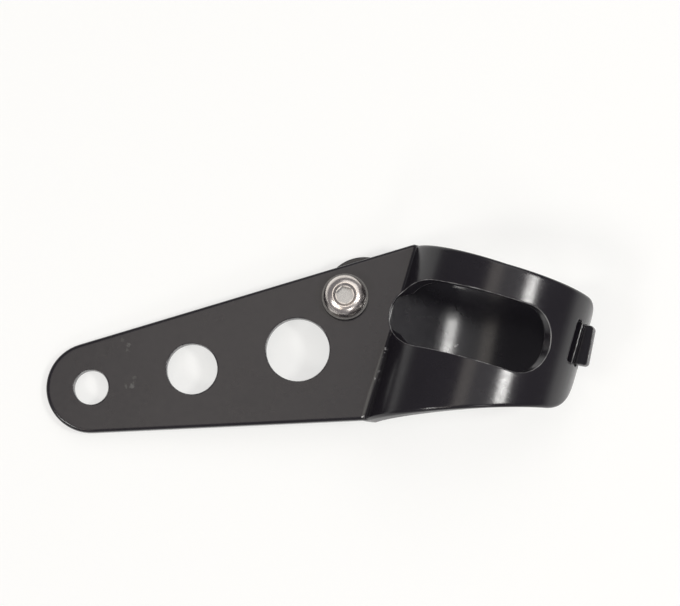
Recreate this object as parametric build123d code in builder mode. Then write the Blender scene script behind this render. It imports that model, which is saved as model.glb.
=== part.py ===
from build123d import *
from math import asin, atan2, cos, degrees, hypot, radians, sin, sqrt
import os

# Headlight bracket for a motorbike's fork, drawn in millimetres and degrees as it lies on a bench.
# The fork's centre line is Y, through the origin. The ear points to -X, and its front faces +Z.
# Band angles are measured round the fork from the band's crest, positive away from the ear.

# Driving dimensions of the stamped bracket
sheet = 2.5
fork_radius = 21.5
band_start_angle = 70.0
band_end_angle = 97.0
nose_angle = 100.0
bend_radius = 1.0
band_top = 16.7
band_bottom = -13.4
slant_end_angle = 52.34
top_corner = 13.5
rim_radius = 0.8

# Driving dimensions of the ear
tip_radius = 11.2
ear_corner_y = 17.8
large_hole_x = -43.8
large_hole_y = -15.7
large_hole_diameter = 15.7
middle_hole_diameter = 12.6
tip_hole_diameter = 8.6
middle_hole_distance = 26.6
tip_hole_distance = 52.0
hole_line_angle = 26.6

# Driving dimensions of the window and of the slots in the band
window_width = 16.8
window_y = 0.4
window_past_bend = 1.0
window_end_angle = 20.0
slot_length = 10.9
slot_width = 3.2
slot_corner = 0.8
slot_y = 4.9
slot_count = 3
slot_first_angle = 62.5
slot_pitch_angle = 11.5
hook_slot_number = 2

# Driving dimensions of the strap
strap_sheet = 2.0
strap_width = 23.0
strap_radius = 24.5
strap_bend_radius = 1.5
strap_leg_angle = 27.0
strap_knee = 11.0
flange_end = 5.8
flange_corner = 10.3
tab_width = 10.1
tab_corner = 1.0
tab_stand_out = 2.7
shoulder_corner = 3.0

# Driving dimensions of the fasteners
screw_x = -36.2
screw_y = 0.1
screw_diameter = 6.0
screw_length = 10.0
screw_point = 0.6
head_diameter = 10.6
head_height = 3.3
head_edge = 0.5
head_flat_diameter = 6.2
socket_size = 4.0
socket_depth = 2.2
socket_rim_diameter = 5.8
socket_rim_depth = 0.5
washer_diameter = 11.5
washer_thickness = 1.6
nut_size = 10.0
nut_thickness = 3.2
nut_chamfer = 0.3
hole_clearance = 0.3
thread_clearance = 0.05


def round_fork(radius, angle):
    """The point (x, height) at this radius and angle round the fork's centre line."""
    return radius * sin(radians(angle)), radius * cos(radians(angle))


# The bracket's section: the ear's level follows from the bend that joins it to the band.
band_middle = fork_radius + sheet / 2
band_outside = fork_radius + sheet
bend_middle = bend_radius + sheet / 2
bend_x, bend_height = round_fork(band_middle + bend_middle, -band_start_angle)
ear_middle = bend_height - bend_middle
ear_top = ear_middle + sheet / 2
ear_bottom = ear_middle - sheet / 2
window_left = bend_x - window_past_bend
tip_x = large_hole_x - tip_hole_distance * cos(radians(hole_line_angle))
tip_y = large_hole_y - tip_hole_distance * sin(radians(hole_line_angle))
middle_hole_x = large_hole_x - middle_hole_distance * cos(radians(hole_line_angle))
middle_hole_y = large_hole_y - middle_hole_distance * sin(radians(hole_line_angle))
ear_end = tip_x - tip_radius
slant_end = band_outside * sin(radians(slant_end_angle))
slant_length = hypot(slant_end - tip_x, band_bottom - tip_y)
slant = atan2(band_bottom - tip_y, slant_end - tip_x) + asin(tip_radius / slant_length)

# The lower corner of the band sweeps on from the slanted edge to the band's end.
nose_turn = radians(nose_angle - slant_end_angle)
sweep_start = band_outside * sin(nose_turn)
sweep_lean = atan2(sin(slant) * cos(radians(slant_end_angle)), cos(slant) * cos(nose_turn))
sweep_radius = sweep_start / (1 - sin(sweep_lean))
sweep_y = band_bottom + sweep_radius * cos(sweep_lean)
reach = abs(ear_end) + abs(tip_y) + tip_radius

# The strap turns about the screw so that its centre line ends in the hook slot.
hook_angle = slot_first_angle + (hook_slot_number - 1) * slot_pitch_angle
hook_x, hook_height = round_fork(band_middle, hook_angle)
strap_turn = degrees(atan2(slot_y - screw_y, hook_x - screw_x))
hook_distance = hypot(hook_x - screw_x, slot_y - screw_y)

# The strap's middle line, as distances from the screw: flange, knee, leg, arc, bend and tab.
tab_rise = radians(90.0 - hook_angle)
leg_fall = radians(strap_leg_angle)
flange_middle = ear_bottom - strap_sheet / 2
arc_middle = strap_radius + strap_sheet / 2
strap_bend = strap_bend_radius + strap_sheet / 2
tab_root = -sheet / 2 - strap_sheet / 2
tab_root_x = hook_distance + tab_root * cos(tab_rise)
tab_root_height = hook_height + tab_root * sin(tab_rise)
tab_bend_x = tab_root_x + strap_bend * sin(tab_rise)
tab_bend_height = tab_root_height - strap_bend * cos(tab_rise)
knee_length = strap_bend * sin(leg_fall / 2) / cos(leg_fall / 2)
knee_start = strap_knee - knee_length
knee_end_x = strap_knee + knee_length * cos(leg_fall)
knee_end_height = flange_middle - knee_length * sin(leg_fall)

# The arc touches the leg and the tab's bend, which fixes its centre.
away_x = strap_knee + arc_middle * sin(leg_fall) - tab_bend_x
away_height = flange_middle + arc_middle * cos(leg_fall) - tab_bend_height
along_leg = away_x * cos(leg_fall) - away_height * sin(leg_fall)
off_leg = away_x * sin(leg_fall) + away_height * cos(leg_fall)
leg_run = -along_leg - sqrt((arc_middle + strap_bend) ** 2 - off_leg**2)
leg_end_x = strap_knee + leg_run * cos(leg_fall)
leg_end_height = flange_middle - leg_run * sin(leg_fall)
arc_x = leg_end_x + arc_middle * sin(leg_fall)
arc_height = leg_end_height + arc_middle * cos(leg_fall)
tab_turn = degrees(atan2(tab_bend_x - arc_x, arc_height - tab_bend_height))
shoulder_x = arc_x + arc_middle * sin(radians(tab_turn))
tab_end = hook_distance + (sheet / 2 + tab_stand_out) * cos(tab_rise)

# On the bench it leans on the strap's underside and on the lower edge of the ear's tip.
strap_low_x = screw_x + arc_x * cos(radians(strap_turn))
tip_to_arc = hypot(strap_low_x - ear_end, arc_height - ear_bottom)
rise_to_arc = asin((arc_height - ear_bottom) / tip_to_arc)
rest_tilt = degrees(asin((arc_middle + strap_sheet / 2) / tip_to_arc) - rise_to_arc)

# Working planes: level with the ear, across the fork, and along the strap.
level = Plane(Location((0, 0, 0), (0, -rest_tilt, 0)))
across = Plane(origin=(0, 0, 0), x_dir=level.x_dir, z_dir=-level.y_dir)


def level_at(x, y, height):
    """A plane level with the ear, at a point measured from the fork's centre."""
    origin = level.from_local_coords(Vector(x, y, height))
    return Plane(origin=origin, x_dir=level.x_dir, z_dir=level.z_dir)


def facing_out(angle, y):
    """A plane that faces away from the fork at this angle, with its x along the fork."""
    x, height = round_fork(1.0, angle)
    out = level.from_local_coords(Vector(x, 0, height))
    origin = level.from_local_coords(Vector(0, y, 0))
    return Plane(origin=origin, x_dir=level.y_dir, z_dir=out)


strap_level = Plane(level_at(screw_x, screw_y, 0).location * Location((0, 0, 0), (0, 0, strap_turn)))
along_strap = Plane(origin=strap_level.origin, x_dir=strap_level.x_dir, z_dir=-strap_level.y_dir)

# Blank: a bent sheet, trimmed to its outline as seen from the front
with BuildPart() as blank:
    with BuildSketch(across):
        with BuildLine():
            Line((ear_end - sheet, ear_middle), (bend_x, ear_middle))
            CenterArc((bend_x, bend_height), bend_middle, 270, band_start_angle)
            CenterArc((0, 0), band_middle, 90 + band_start_angle, -band_start_angle - band_end_angle)
        trace(line_width=sheet)
    extrude(amount=reach, both=True)
    with BuildSketch(level.offset(-reach)):
        with Locations((tip_x, tip_y)):
            Circle(tip_radius)
        with BuildLine():
            Polyline((bend_x, ear_corner_y), (slant_end, band_bottom), (bend_x, band_bottom), close=True)
        make_face()
        make_hull()
        with BuildLine():
            Polyline(
                (bend_x, ear_corner_y),
                (0, band_top),
                (band_outside, band_top),
                (band_outside, band_bottom),
                (slant_end, band_bottom),
                close=True,
            )
        make_face()
    extrude(amount=2 * reach, mode=Mode.INTERSECT)
    with BuildSketch(facing_out(nose_angle, 0)):
        with Locations((band_top, 0)):
            Rectangle(top_corner, top_corner, align=(Align.MAX, Align.MIN))
        with Locations((band_top - top_corner, top_corner)):
            Circle(top_corner, mode=Mode.SUBTRACT)
    extrude(amount=2 * band_outside, mode=Mode.SUBTRACT)
    with BuildSketch(facing_out(nose_angle, 0)):
        with Locations((sweep_y, 0)):
            Rectangle(2 * sweep_radius, sweep_start, align=(Align.MAX, Align.MIN))
        with Locations((sweep_y, sweep_radius)):
            Circle(sweep_radius, mode=Mode.SUBTRACT)
    extrude(amount=2 * band_outside, mode=Mode.SUBTRACT)

    # The window: straight through on the ear's side, square to the band at its other end
    crest_to_end = band_outside * sin(radians(window_end_angle))
    with BuildSketch(level.offset(0)):
        window_length = window_width / 2 - window_left
        with Locations((window_left, window_y)):
            SlotOverall(window_length, window_width, align=(Align.MIN, Align.CENTER))
    extrude(amount=2 * band_outside, mode=Mode.SUBTRACT)
    with BuildSketch(facing_out(window_end_angle, window_y)):
        with Locations((0, crest_to_end / 2)):
            SlotCenterToCenter(crest_to_end, window_width, rotation=90)
    extrude(amount=2 * band_outside, mode=Mode.SUBTRACT)

    # The row of slots that the strap can hook into
    for slot in range(slot_count):
        with BuildSketch(facing_out(slot_first_angle + slot * slot_pitch_angle, slot_y)):
            RectangleRounded(slot_length, slot_width, slot_corner)
        extrude(amount=2 * band_outside, mode=Mode.SUBTRACT)

    # The holes in the ear, and the screw's hole
    with Locations(level_at(large_hole_x, large_hole_y, ear_top)):
        Hole(large_hole_diameter / 2, depth=sheet)
    with Locations(level_at(middle_hole_x, middle_hole_y, ear_top)):
        Hole(middle_hole_diameter / 2, depth=sheet)
    with Locations(level_at(tip_x, tip_y, ear_top)):
        Hole(tip_hole_diameter / 2, depth=sheet)
    with Locations(level_at(screw_x, screw_y, ear_top)):
        Hole(screw_diameter / 2 + hole_clearance, depth=sheet)

# Bracket: the faces of the blank's front, thickened so that every edge is square to the sheet
half_bend = radians(band_start_angle / 2)
bend_front_x = bend_x + bend_radius * sin(half_bend)
bend_front_height = bend_height - bend_radius * cos(half_bend)
above_window = (ear_corner_y + window_y + window_width / 2) / 2
below_window = (band_bottom + window_y - window_width / 2) / 2
front_points = (
    Vector((large_hole_x + middle_hole_x) / 2, (large_hole_y + middle_hole_y) / 2, ear_top),
    Vector(0, below_window, band_outside),
    Vector(bend_front_x, above_window, bend_front_height),
    Vector(bend_front_x, below_window, bend_front_height),
)
with BuildPart() as lamp_bracket:
    for point in front_points:
        place = level.from_local_coords(point)
        front_face = blank.faces().sort_by_distance(place)[0]
        thicken(front_face, amount=-sheet)

    # The outline's rim, rounded on the front
    front_edges = []
    for point in front_points:
        place = level.from_local_coords(point)
        front_face = lamp_bracket.faces().sort_by_distance(place)[0]
        front_edges.extend(front_face.outer_wire().edges())
    outline = []
    for edge in front_edges:
        middle = level.to_local_coords(edge.position_at(0.5))
        past_window_side = abs(middle.Y - window_y) > (window_width + sheet) / 2
        past_window_end = middle.X < window_left - sheet or middle.X > slant_end
        faces_sharing = sum(edge.is_same(other) for other in front_edges)
        if faces_sharing == 1 and (past_window_side or past_window_end):
            outline.append(edge)
    fillet(outline, radius=rim_radius)

# Strap: a bent strip, trimmed to a rounded flange, two shoulders and a narrow tab
with BuildPart() as clamp_strap:
    with BuildSketch(along_strap):
        with BuildLine():
            Line((-flange_end, flange_middle), (knee_start, flange_middle))
            CenterArc((knee_start, flange_middle - strap_bend), strap_bend, 90, -strap_leg_angle)
            Line((knee_end_x, knee_end_height), (leg_end_x, leg_end_height))
            CenterArc((arc_x, arc_height), arc_middle, 270 - strap_leg_angle, strap_leg_angle + tab_turn)
            CenterArc((tab_bend_x, tab_bend_height), strap_bend, 90 + tab_turn, degrees(tab_rise) - tab_turn)
            tab_end_height = tab_root_height + (tab_end - tab_root_x) * sin(tab_rise) / cos(tab_rise)
            Line((tab_root_x, tab_root_height), (tab_end, tab_end_height))
        trace(line_width=strap_sheet)
    extrude(amount=strap_width / 2, both=True)
    with BuildSketch(strap_level.offset(-reach)) as strap_outline:
        with Locations((-flange_end, 0)):
            Rectangle(flange_end + shoulder_x, strap_width, align=(Align.MIN, Align.CENTER))
        fillet(strap_outline.vertices().group_by(Axis.X)[0], flange_corner)
        fillet(strap_outline.vertices().group_by(Axis.X)[-1], shoulder_corner)
        Rectangle(tab_end + strap_sheet, tab_width, align=(Align.MIN, Align.CENTER))
    extrude(amount=2 * reach, mode=Mode.INTERSECT)
    with Locations(level_at(screw_x, screw_y, ear_bottom)):
        Hole(screw_diameter / 2 + hole_clearance, depth=strap_sheet)
    tab_tip = along_strap.from_local_coords(Vector(tab_end, tab_end_height, 0))
    tab_face = clamp_strap.faces().sort_by_distance(tab_tip)[0]
    fillet(tab_face.edges().sort_by(SortBy.LENGTH)[:2], tab_corner)

# Washer under the screw's head
with BuildPart() as head_washer:
    with BuildSketch(level_at(screw_x, screw_y, ear_top)):
        Circle(washer_diameter / 2)
        Circle(screw_diameter / 2 + hole_clearance, mode=Mode.SUBTRACT)
    extrude(amount=washer_thickness)

# Screw: a domed head with a hexagon socket, on a plain shank
head_seat = ear_top + washer_thickness
with BuildPart() as clamp_screw:
    screw_section = level_at(screw_x, screw_y, head_seat)
    with BuildSketch(Plane(screw_section.origin, x_dir=level.x_dir, z_dir=-level.y_dir)):
        with BuildLine():
            start = (head_flat_diameter / 2, head_height)
            socket_edge = (socket_rim_diameter / 2, head_height)
            socket_corner = socket_size / sqrt(3)
            Polyline(
                start,
                socket_edge,
                (socket_corner, head_height - socket_rim_depth),
                (0, head_height - socket_rim_depth),
                (0, -screw_length),
                (screw_diameter / 2 - screw_point, -screw_length),
                (screw_diameter / 2, screw_point - screw_length),
                (screw_diameter / 2, 0),
                (head_diameter / 2, 0),
                (head_diameter / 2, head_edge),
            )
            dome_bow = (head_diameter - head_flat_diameter) / 10
            middle_x = (head_diameter + head_flat_diameter) / 4 + dome_bow
            middle_height = (head_edge + head_height) / 2 + dome_bow
            ThreePointArc((head_diameter / 2, head_edge), (middle_x, middle_height), start)
        make_face()
    revolve(axis=Axis(screw_section.origin, level.z_dir))
    with BuildSketch(screw_section.offset(head_height)):
        RegularPolygon(socket_size / 2, 6, major_radius=False)
    extrude(amount=-socket_depth, mode=Mode.SUBTRACT)

# Nut under the strap's flange
with BuildPart() as clamp_nut:
    nut_top = level_at(screw_x, screw_y, ear_bottom - strap_sheet)
    with BuildSketch(nut_top):
        RegularPolygon(nut_size / 2, 6, major_radius=False)
        Circle(screw_diameter / 2 + thread_clearance, mode=Mode.SUBTRACT)
    extrude(amount=-nut_thickness)
    with BuildSketch(Plane(nut_top.origin, x_dir=level.x_dir, z_dir=-level.y_dir)):
        with BuildLine():
            nut_corner = nut_size / sqrt(3)
            Polyline(
                (0, 0),
                (nut_size / 2 - nut_chamfer, 0),
                (nut_corner, (nut_size / 2 - nut_chamfer - nut_corner) / 2),
                (nut_corner, -nut_thickness - (nut_size / 2 - nut_chamfer - nut_corner) / 2),
                (nut_size / 2 - nut_chamfer, -nut_thickness),
                (0, -nut_thickness),
                close=True,
            )
        make_face()
    revolve(axis=Axis(nut_top.origin, level.z_dir), mode=Mode.INTERSECT)

lamp_bracket.part.label = "lamp_bracket"
clamp_strap.part.label = "clamp_strap"
head_washer.part.label = "head_washer"
clamp_screw.part.label = "clamp_screw"
clamp_nut.part.label = "clamp_nut"

os.makedirs("parts", exist_ok=True)
export_step(lamp_bracket.part, "parts/lamp_bracket.step")
export_step(clamp_strap.part, "parts/clamp_strap.step")
export_step(head_washer.part, "parts/head_washer.step")
export_step(clamp_screw.part, "parts/clamp_screw.step")
export_step(clamp_nut.part, "parts/clamp_nut.step")
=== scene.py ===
from math import pi

import bpy
from mathutils import Matrix, Vector


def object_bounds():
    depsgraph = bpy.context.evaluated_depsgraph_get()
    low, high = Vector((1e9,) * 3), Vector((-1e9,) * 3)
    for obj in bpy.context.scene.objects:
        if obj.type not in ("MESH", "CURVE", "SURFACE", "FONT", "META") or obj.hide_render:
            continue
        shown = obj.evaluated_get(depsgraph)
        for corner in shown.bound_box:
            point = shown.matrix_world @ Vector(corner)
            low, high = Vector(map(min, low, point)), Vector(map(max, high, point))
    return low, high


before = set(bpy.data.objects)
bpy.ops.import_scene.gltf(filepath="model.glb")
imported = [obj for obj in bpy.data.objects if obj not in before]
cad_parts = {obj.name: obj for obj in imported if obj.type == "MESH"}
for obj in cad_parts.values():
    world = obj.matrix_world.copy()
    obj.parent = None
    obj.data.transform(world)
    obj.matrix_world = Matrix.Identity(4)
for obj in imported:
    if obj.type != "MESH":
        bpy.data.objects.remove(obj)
cad_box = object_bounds()
scene = bpy.context.scene

# Camera, fitted to the holes, rims and slots of the photograph
photo_width = 680
photo_focal_pixels = 2400
film_width = 36.0
nearest_seen = 0.01
camera_place = Vector((-0.06138, -0.08075, 0.59267))
camera_target = Vector((-0.03768, -0.00168, 0.004))
camera_up = Vector((-0.29001, 0.94998, 0.11593))


def face(thing, place, backward, upward):
    """Puts a camera or a lamp at a place, looking against backward, with upward as its upper side."""
    backward = backward.normalized()
    sideways = upward.cross(backward).normalized()
    turned = Matrix((sideways, backward.cross(sideways), backward)).transposed().to_4x4()
    thing.matrix_world = Matrix.Translation(place) @ turned


camera_data = bpy.data.cameras.new("camera")
camera_data.sensor_fit = "HORIZONTAL"
camera_data.sensor_width = film_width
camera_data.lens = photo_focal_pixels / photo_width * film_width
camera_data.clip_start = nearest_seen
camera = bpy.data.objects.new("camera", camera_data)
scene.collection.objects.link(camera)
face(camera, camera_place, camera_place - camera_target, camera_up)
scene.camera = camera


# Helpers for node materials
def new_material(name):
    """A node material with its shader, ready for textures."""
    material = bpy.data.materials.new(name)
    material.use_nodes = True
    nodes = material.node_tree.nodes
    return material, nodes, material.node_tree.links, nodes["Principled BSDF"]


def grey(level):
    """A neutral colour."""
    return (level, level, level, 1.0)


def noise(nodes, links, place, scale, detail, roughness):
    """A noise texture in the object's own metres."""
    texture = nodes.new("ShaderNodeTexNoise")
    texture.inputs["Scale"].default_value = scale
    texture.inputs["Detail"].default_value = detail
    texture.inputs["Roughness"].default_value = roughness
    links.new(place, texture.inputs["Vector"])
    return texture.outputs["Fac"]


def ramp(nodes, links, value, span, first, last):
    """A colour that goes from the first to the last while the value crosses a span."""
    node = nodes.new("ShaderNodeValToRGB")
    links.new(value, node.inputs["Fac"])
    for element, position, colour in zip(node.color_ramp.elements, span, (first, last)):
        element.position = position
        element.color = colour
    return node.outputs["Color"]


def crossing(nodes, links, value, start, end):
    """A node whose result goes from 0 to 1 while the value goes from start to end."""
    node = nodes.new("ShaderNodeMapRange")
    node.inputs["From Min"].default_value = start
    node.inputs["From Max"].default_value = end
    links.new(value, node.inputs["Value"])
    return node


def vector_math(nodes, links, operation, vector):
    """A node that does an operation on a vector."""
    node = nodes.new("ShaderNodeVectorMath")
    node.operation = operation
    links.new(vector, node.inputs[0])
    return node


def blend(nodes, links, share, colour, tone):
    """The colour, mixed toward a grey tone by a share."""
    mix = nodes.new("ShaderNodeMix")
    mix.data_type = "RGBA"
    links.new(share, mix.inputs["Factor"])
    links.new(colour, mix.inputs["A"])
    mix.inputs["B"].default_value = grey(tone)
    return mix.outputs["Result"]


def shaken(nodes, links, place, scale, reach):
    """The place moved about by a noise, for uneven edges."""
    texture = nodes.new("ShaderNodeTexNoise")
    texture.normalize = False
    texture.inputs["Scale"].default_value = scale
    links.new(place, texture.inputs["Vector"])
    shift = vector_math(nodes, links, "MULTIPLY_ADD", texture.outputs["Color"])
    shift.inputs[1].default_value = (reach, reach, reach)
    links.new(place, shift.inputs[2])
    return shift.outputs["Vector"]


def squeezed(nodes, links, place, squeeze):
    """The place scaled along its axes, so that a spot on it comes out long."""
    scaled = vector_math(nodes, links, "MULTIPLY", place)
    scaled.inputs[1].default_value = squeeze
    return scaled.outputs["Vector"]


def spot(nodes, links, place, colour, middle, radius, tone):
    """The colour with a small grey spot on it, which fades out over the outer half of its radius."""
    gap = vector_math(nodes, links, "DISTANCE", place)
    gap.inputs[1].default_value = middle
    share = crossing(nodes, links, gap.outputs["Value"], radius, radius / 2)
    return blend(nodes, links, share.outputs["Result"], colour, tone)


# Textures, each noise with a scale per metre, a detail and a roughness
enamel_cloud = (60.0, 4.0, 0.6)
enamel_grain = (900.0, 3.0, 0.5)
enamel_grain_share = 0.2
metal_cloud = (400.0, 5.0, 0.6)
metal_grain = (1500.0, 3.0, 0.5)
metal_grain_share = 0.15
cloud_span = (0.3, 0.7)
grain_span = (0.2, 0.8)
ripple = (500.0, 2.0, 0.5)
ripple_strength = 0.025
ripple_height = 0.0002

# Rims of the enamel, softened in the shader, with a painted highlight that is pale in patches
rim_radius = 0.0006
rim_samples = 8
rim_highlight_tone = 0.55
rim_starts = 0.93
rim_is_full = 0.75
rim_highlight_patches = (250.0, 3.0, 0.6)
patch_span = (0.42, 0.62)
patch_least = 0.25

# Marks on the enamel, wear and painted highlights: spots have frayed edges, and streaks of painted
# highlight are spots drawn out along Y
fray_scale = 1200.0
fray_reach = 0.0005
streak_squeeze = Vector((1, 0.08, 1))


def gloss_into(nodes, links, shader, place, texture, gloss, share):
    """Gives the shader a roughness that a noise varies by a share either way."""
    grain = noise(nodes, links, place, *texture)
    rough = ramp(nodes, links, grain, grain_span, grey(gloss * (1 - share)), grey(gloss * (1 + share)))
    links.new(rough, shader.inputs["Roughness"])


def enamel_material(name, dark, light, gloss, spots, glint_streaks):
    """Black enamel with spots of wear and of painted highlight, streaks of painted highlight and a
    painted highlight on its rims; each spot and streak a middle, a radius and a tone.
    """
    material, nodes, links, shader = new_material(name)
    place = nodes.new("ShaderNodeTexCoord").outputs["Object"]
    cloud = noise(nodes, links, place, *enamel_cloud)
    colour = ramp(nodes, links, cloud, cloud_span, dark, light)
    # Painted highlight: pale streaks drawn out along Y
    for middle, radius, tone in glint_streaks:
        drawn_in = squeezed(nodes, links, place, streak_squeeze)
        colour = spot(nodes, links, drawn_in, colour, Vector(middle) * streak_squeeze, radius, tone)
    frayed = shaken(nodes, links, place, fray_scale, fray_reach)
    # Spots of wear, and the painted highlight dot at the bend's corner
    for middle, radius, tone in spots:
        colour = spot(nodes, links, frayed, colour, middle, radius, tone)

    rim = nodes.new("ShaderNodeBevel")
    rim.samples = rim_samples
    rim.inputs["Radius"].default_value = rim_radius
    # Painted highlight: the rims are lightened toward a pale tone where the softened normal turns from
    # the true one, more in some noisy patches than in others
    flatness = vector_math(nodes, links, "DOT_PRODUCT", rim.outputs["Normal"])
    links.new(nodes.new("ShaderNodeNewGeometry").outputs["Normal"], flatness.inputs[1])
    painted_rim_highlight = crossing(nodes, links, flatness.outputs["Value"], rim_starts, rim_is_full)
    glint_patches = noise(nodes, links, place, *rim_highlight_patches)
    brightest_rim_highlight = ramp(nodes, links, glint_patches, patch_span, grey(patch_least), grey(1.0))
    links.new(brightest_rim_highlight, painted_rim_highlight.inputs["To Max"])
    colour = blend(nodes, links, painted_rim_highlight.outputs["Result"], colour, rim_highlight_tone)
    links.new(colour, shader.inputs["Base Color"])

    gloss_into(nodes, links, shader, place, enamel_grain, gloss, enamel_grain_share)
    bump = nodes.new("ShaderNodeBump")
    bump.inputs["Strength"].default_value = ripple_strength
    bump.inputs["Distance"].default_value = ripple_height
    links.new(rim.outputs["Normal"], bump.inputs["Normal"])
    links.new(noise(nodes, links, place, *ripple), bump.inputs["Height"])
    links.new(bump.outputs["Normal"], shader.inputs["Normal"])
    return material


def metal_material(name, dark, light, gloss, spots):
    """Plated metal with a fine unevenness and darker spots of painted shade, each a middle, a radius
    and a tone.
    """
    material, nodes, links, shader = new_material(name)
    shader.inputs["Metallic"].default_value = 1.0
    place = nodes.new("ShaderNodeTexCoord").outputs["Object"]
    cloud = noise(nodes, links, place, *metal_cloud)
    colour = ramp(nodes, links, cloud, cloud_span, dark, light)
    for middle, radius, tone in spots:
        colour = spot(nodes, links, place, colour, middle, radius, tone)
    links.new(colour, shader.inputs["Base Color"])
    gloss_into(nodes, links, shader, place, metal_grain, gloss, metal_grain_share)
    return material


# Wear on the ear's bend, with a painted highlight line along it and a painted highlight dot at its
# lower corner, wear near the ear's tip, and on the strap
bend_specks_and_glint = (
    ((-0.0237, -0.0094, 0.005), 0.0004, 0.4),
    ((-0.0237, -0.0104, 0.005), 0.0003, 0.35),
    ((-0.0236, -0.0115, 0.005), 0.0003, 0.2),
    ((-0.0237, -0.0152, 0.005), 0.0004, 0.15),
    ((-0.0240, -0.0173, 0.005), 0.0003, 0.4),
    # Painted highlight: the bright dot at the bend's lower corner
    ((-0.0243, -0.0272, 0.0049), 0.0005, 0.8),
)
# Painted highlight: a pale line along the lower half of the bend
bend_glint_streaks = (
    ((-0.0241, -0.0155, 0.005), 0.0006, 0.07),
    ((-0.0243, -0.0225, 0.005), 0.0006, 0.07),
)
tip_scuffs = (
    ((-0.0848, -0.0262, -0.0019), 0.0006, 0.06),
    ((-0.0847, -0.0275, -0.0019), 0.0006, 0.045),
    ((-0.0866, -0.0255, -0.0021), 0.0006, 0.035),
    ((-0.0811, -0.0337, -0.0015), 0.0006, 0.04),
    ((-0.0809, -0.0348, -0.0014), 0.0006, 0.05),
    ((-0.0809, -0.0357, -0.0014), 0.0007, 0.08),
    ((-0.0825, -0.0364, -0.0016), 0.0006, 0.05),
)
strap_specks = (((-0.0063, -0.0025, -0.004), 0.0004, 0.3),)
# Painted shade: a darker spot in the screw's socket
socket_shade = ((-0.0371, 0.0001, 0.0062), 0.0036, 0.42)

# Finishes of the pieces
sheet_dark = (0.0122, 0.0106, 0.0142, 1)
sheet_light = (0.0164, 0.0146, 0.0186, 1)
strap_dark = (0.0112, 0.0103, 0.0136, 1)
strap_light = (0.0148, 0.0138, 0.0176, 1)
screw_dark = (0.7, 0.65, 0.61, 1)
screw_light = (0.82, 0.77, 0.73, 1)
washer_dark = grey(0.1)
washer_light = grey(0.15)
enamel_gloss = 0.21
screw_gloss = 0.27
washer_gloss = 0.3
# Wear of the sheet, together with the painted highlight dot at the bend's corner
sheet_wear_and_glint = bend_specks_and_glint + tip_scuffs
sheet_enamel = enamel_material(
    "black_enamel", sheet_dark, sheet_light, enamel_gloss, sheet_wear_and_glint, bend_glint_streaks
)
strap_enamel = enamel_material("strap_enamel", strap_dark, strap_light, enamel_gloss, strap_specks, ())
bright_metal = metal_material("bright_plating", screw_dark, screw_light, screw_gloss, (socket_shade,))
washer_metal = metal_material("washer_plating", washer_dark, washer_light, washer_gloss, ())

finishes = {
    "lamp_bracket": sheet_enamel,
    "clamp_strap": strap_enamel,
    "clamp_screw": bright_metal,
    "head_washer": washer_metal,
    "clamp_nut": bright_metal,
}
for node, material in finishes.items():
    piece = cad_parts[node]
    piece.data.materials.clear()
    piece.data.materials.append(material)

# Floor: white under the object and greyer farther away, a painted pool of light, seen with a faint
# shadow
floor_level = cad_box[0][2]
floor_reach = 6.0
floor_roughness = 0.6
white_reach = 0.14
grey_reach = 0.34
near_white = Vector((0.985, 0.985, 0.97))
far_grey = Vector((0.4, 0.4, 0.4))
shadow_share = 0.35
floor_mesh = bpy.data.meshes.new("floor")
corners = [(x * floor_reach, y * floor_reach, 0) for x, y in ((-1, -1), (1, -1), (1, 1), (-1, 1))]
floor_mesh.from_pydata(corners, [], [(0, 1, 2, 3)])
floor = bpy.data.objects.new("floor", floor_mesh)
floor.location = (camera_target.x, camera_target.y, floor_level)
scene.collection.objects.link(floor)
floor_material, floor_nodes, floor_links, floor_shader = new_material("floor_white")
floor_mesh.materials.append(floor_material)
floor_place = floor_nodes.new("ShaderNodeTexCoord").outputs["Object"]
from_middle = vector_math(floor_nodes, floor_links, "LENGTH", floor_place)
fade = crossing(floor_nodes, floor_links, from_middle.outputs["Value"], white_reach, grey_reach)


def floor_colour(share):
    """The floor's colour, a painted pool of light faded outward, as a share of its full strength."""
    near = (*near_white * share, 1)
    far = (*far_grey * share, 1)
    return ramp(floor_nodes, floor_links, fade.outputs["Result"], (0.0, 1.0), near, far)


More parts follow.
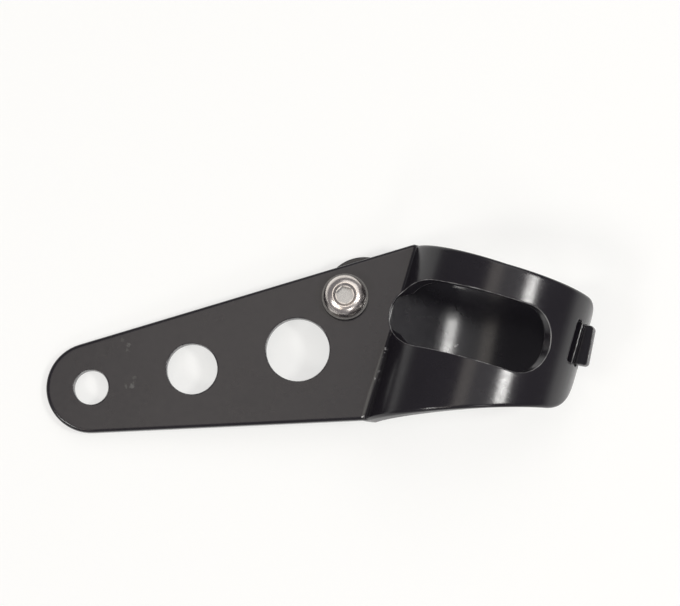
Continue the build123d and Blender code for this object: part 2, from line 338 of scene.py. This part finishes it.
seen_shader = floor_nodes.new("ShaderNodeBsdfPrincipled")
seen_shader.inputs["Emission Strength"].default_value = 1 - shadow_share
for shader in (floor_shader, seen_shader):
    shader.inputs["Roughness"].default_value = floor_roughness
floor_links.new(floor_colour(1), floor_shader.inputs["Base Color"])
floor_links.new(floor_colour(shadow_share), seen_shader.inputs["Base Color"])
floor_links.new(floor_colour(1), seen_shader.inputs["Emission Color"])
path = floor_nodes.new("ShaderNodeLightPath")
is_seen = path.outputs["Is Camera Ray"]
for kind in ("Is Glossy Ray", "Is Transmission Ray"):
    either = floor_nodes.new("ShaderNodeMath")
    either.operation = "ADD"
    floor_links.new(is_seen, either.inputs[0])
    floor_links.new(path.outputs[kind], either.inputs[1])
    is_seen = either.outputs["Value"]
floor_mix = floor_nodes.new("ShaderNodeMixShader")
floor_links.new(is_seen, floor_mix.inputs["Fac"])
floor_links.new(floor_shader.outputs["BSDF"], floor_mix.inputs[1])
floor_links.new(seen_shader.outputs["BSDF"], floor_mix.inputs[2])
floor_links.new(floor_mix.outputs["Shader"], floor_nodes["Material Output"].inputs["Surface"])


# Lights, each with a direction, a distance, a width, a length, a radiance and a colour
def soft_box(name, direction, distance, width, length, radiance, colour):
    """A rectangular lamp that faces the middle of the frame, its length along Y."""
    data = bpy.data.lights.new(name, "AREA")
    data.shape = "RECTANGLE"
    data.size = width
    data.size_y = length
    data.energy = radiance * width * length * pi
    data.color = colour
    lamp = bpy.data.objects.new(name, data)
    scene.collection.objects.link(lamp)
    toward = Vector(direction).normalized()
    face(lamp, toward * distance, toward, Vector((0, 1, 0)))


warm = (1.0, 0.9, 0.78)
nearly_white = (1.0, 0.99, 0.965)
soft_box("key", (0.48, 0.126, 0.866), 1.3, 0.26, 0.18, 34.0, nearly_white)
soft_box("strip", (-0.27, 0.1, 0.958), 1.3, 0.32, 1.1, 0.98, warm)
soft_box("ceiling", (0.02, 0.1, 0.995), 2.0, 1.8, 1.2, 0.55, nearly_white)
soft_box("front_left", (-0.25, -0.6, 0.76), 2.2, 0.35, 0.8, 3.2, warm)
soft_box("front_right", (0.42, -0.6, 0.68), 2.2, 0.35, 0.8, 5.5, nearly_white)
soft_box("rim", (-0.51, -0.5, 0.7), 2.2, 0.45, 0.45, 16.0, nearly_white)
soft_box("back", (0.0, 0.62, 0.78), 2.0, 1.8, 1.3, 1.0, nearly_white)

world_colour = (0.96, 0.93, 1.0, 1)
world_strength = 0.2
world = bpy.data.worlds.new("studio")
scene.world = world
world.use_nodes = True
backdrop = world.node_tree.nodes["Background"]
backdrop.inputs["Color"].default_value = world_colour
backdrop.inputs["Strength"].default_value = world_strength

scene.view_settings.view_transform = "Standard"
